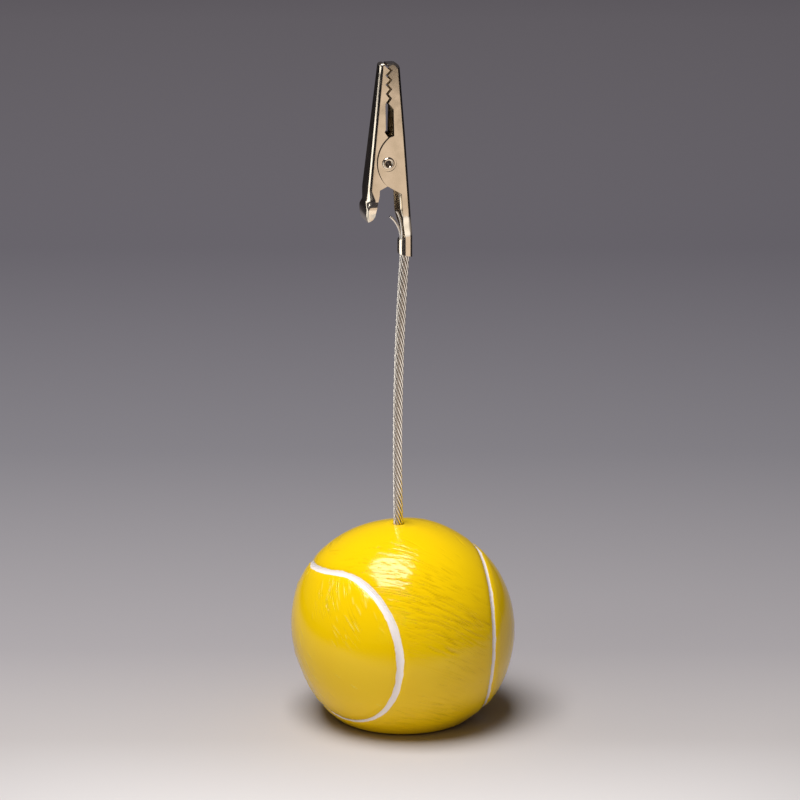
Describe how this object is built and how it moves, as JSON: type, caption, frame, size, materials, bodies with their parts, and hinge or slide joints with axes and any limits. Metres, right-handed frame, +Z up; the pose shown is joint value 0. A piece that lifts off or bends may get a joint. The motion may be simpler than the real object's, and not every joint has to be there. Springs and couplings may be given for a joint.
{
  "type": "table number stand",
  "caption": "Ball base painted as a tennis ball, with a bowed wire strand from its crown to a toothed spring clip that holds a card or table number upright.",
  "frame": {"origin": "centre of the ball base's flat underside, on the surface it stands on", "axes": "+Z up along the strand, +X towards the clip's fixed jaw, +Y along the clip's pivot to the back"},
  "size_m": [0.045, 0.045, 0.1347],
  "materials": {
    "ball_paint": "gloss yellow paint on cast resin, with a white painted seam",
    "clip_plate": "bright nickel plate on stamped steel",
    "spring_wire": "drawn spring wire",
    "strand_wire": "bright drawn steel wire"
  },
  "bodies": {
    "stand": {"ball_base": "ball_paint", "fixed_jaw": "clip_plate", "pivot_rivet": "clip_plate", "torsion_spring": "spring_wire", "core_wire_1": "strand_wire", "core_wire_2": "strand_wire", "core_wire_3": "strand_wire", "outer_wire_1": "strand_wire", "outer_wire_2": "strand_wire", "outer_wire_3": "strand_wire", "outer_wire_4": "strand_wire", "outer_wire_5": "strand_wire", "outer_wire_6": "strand_wire", "outer_wire_7": "strand_wire", "outer_wire_8": "strand_wire", "outer_wire_9": "strand_wire"},
    "jaw": {"moving_jaw": "clip_plate"}
  },
  "joints": [
    {"name": "jaw_hinge", "type": "hinge", "parent": "stand", "child": "jaw", "pos_m": [-0.00376, 0, 0.11515], "axis": [0, -1, 0], "range_deg": [0, 17], "stiffness_Nm_per_rad": 0.15, "springref_deg": -20.05, "deforming": ["torsion_spring"]}
  ]
}
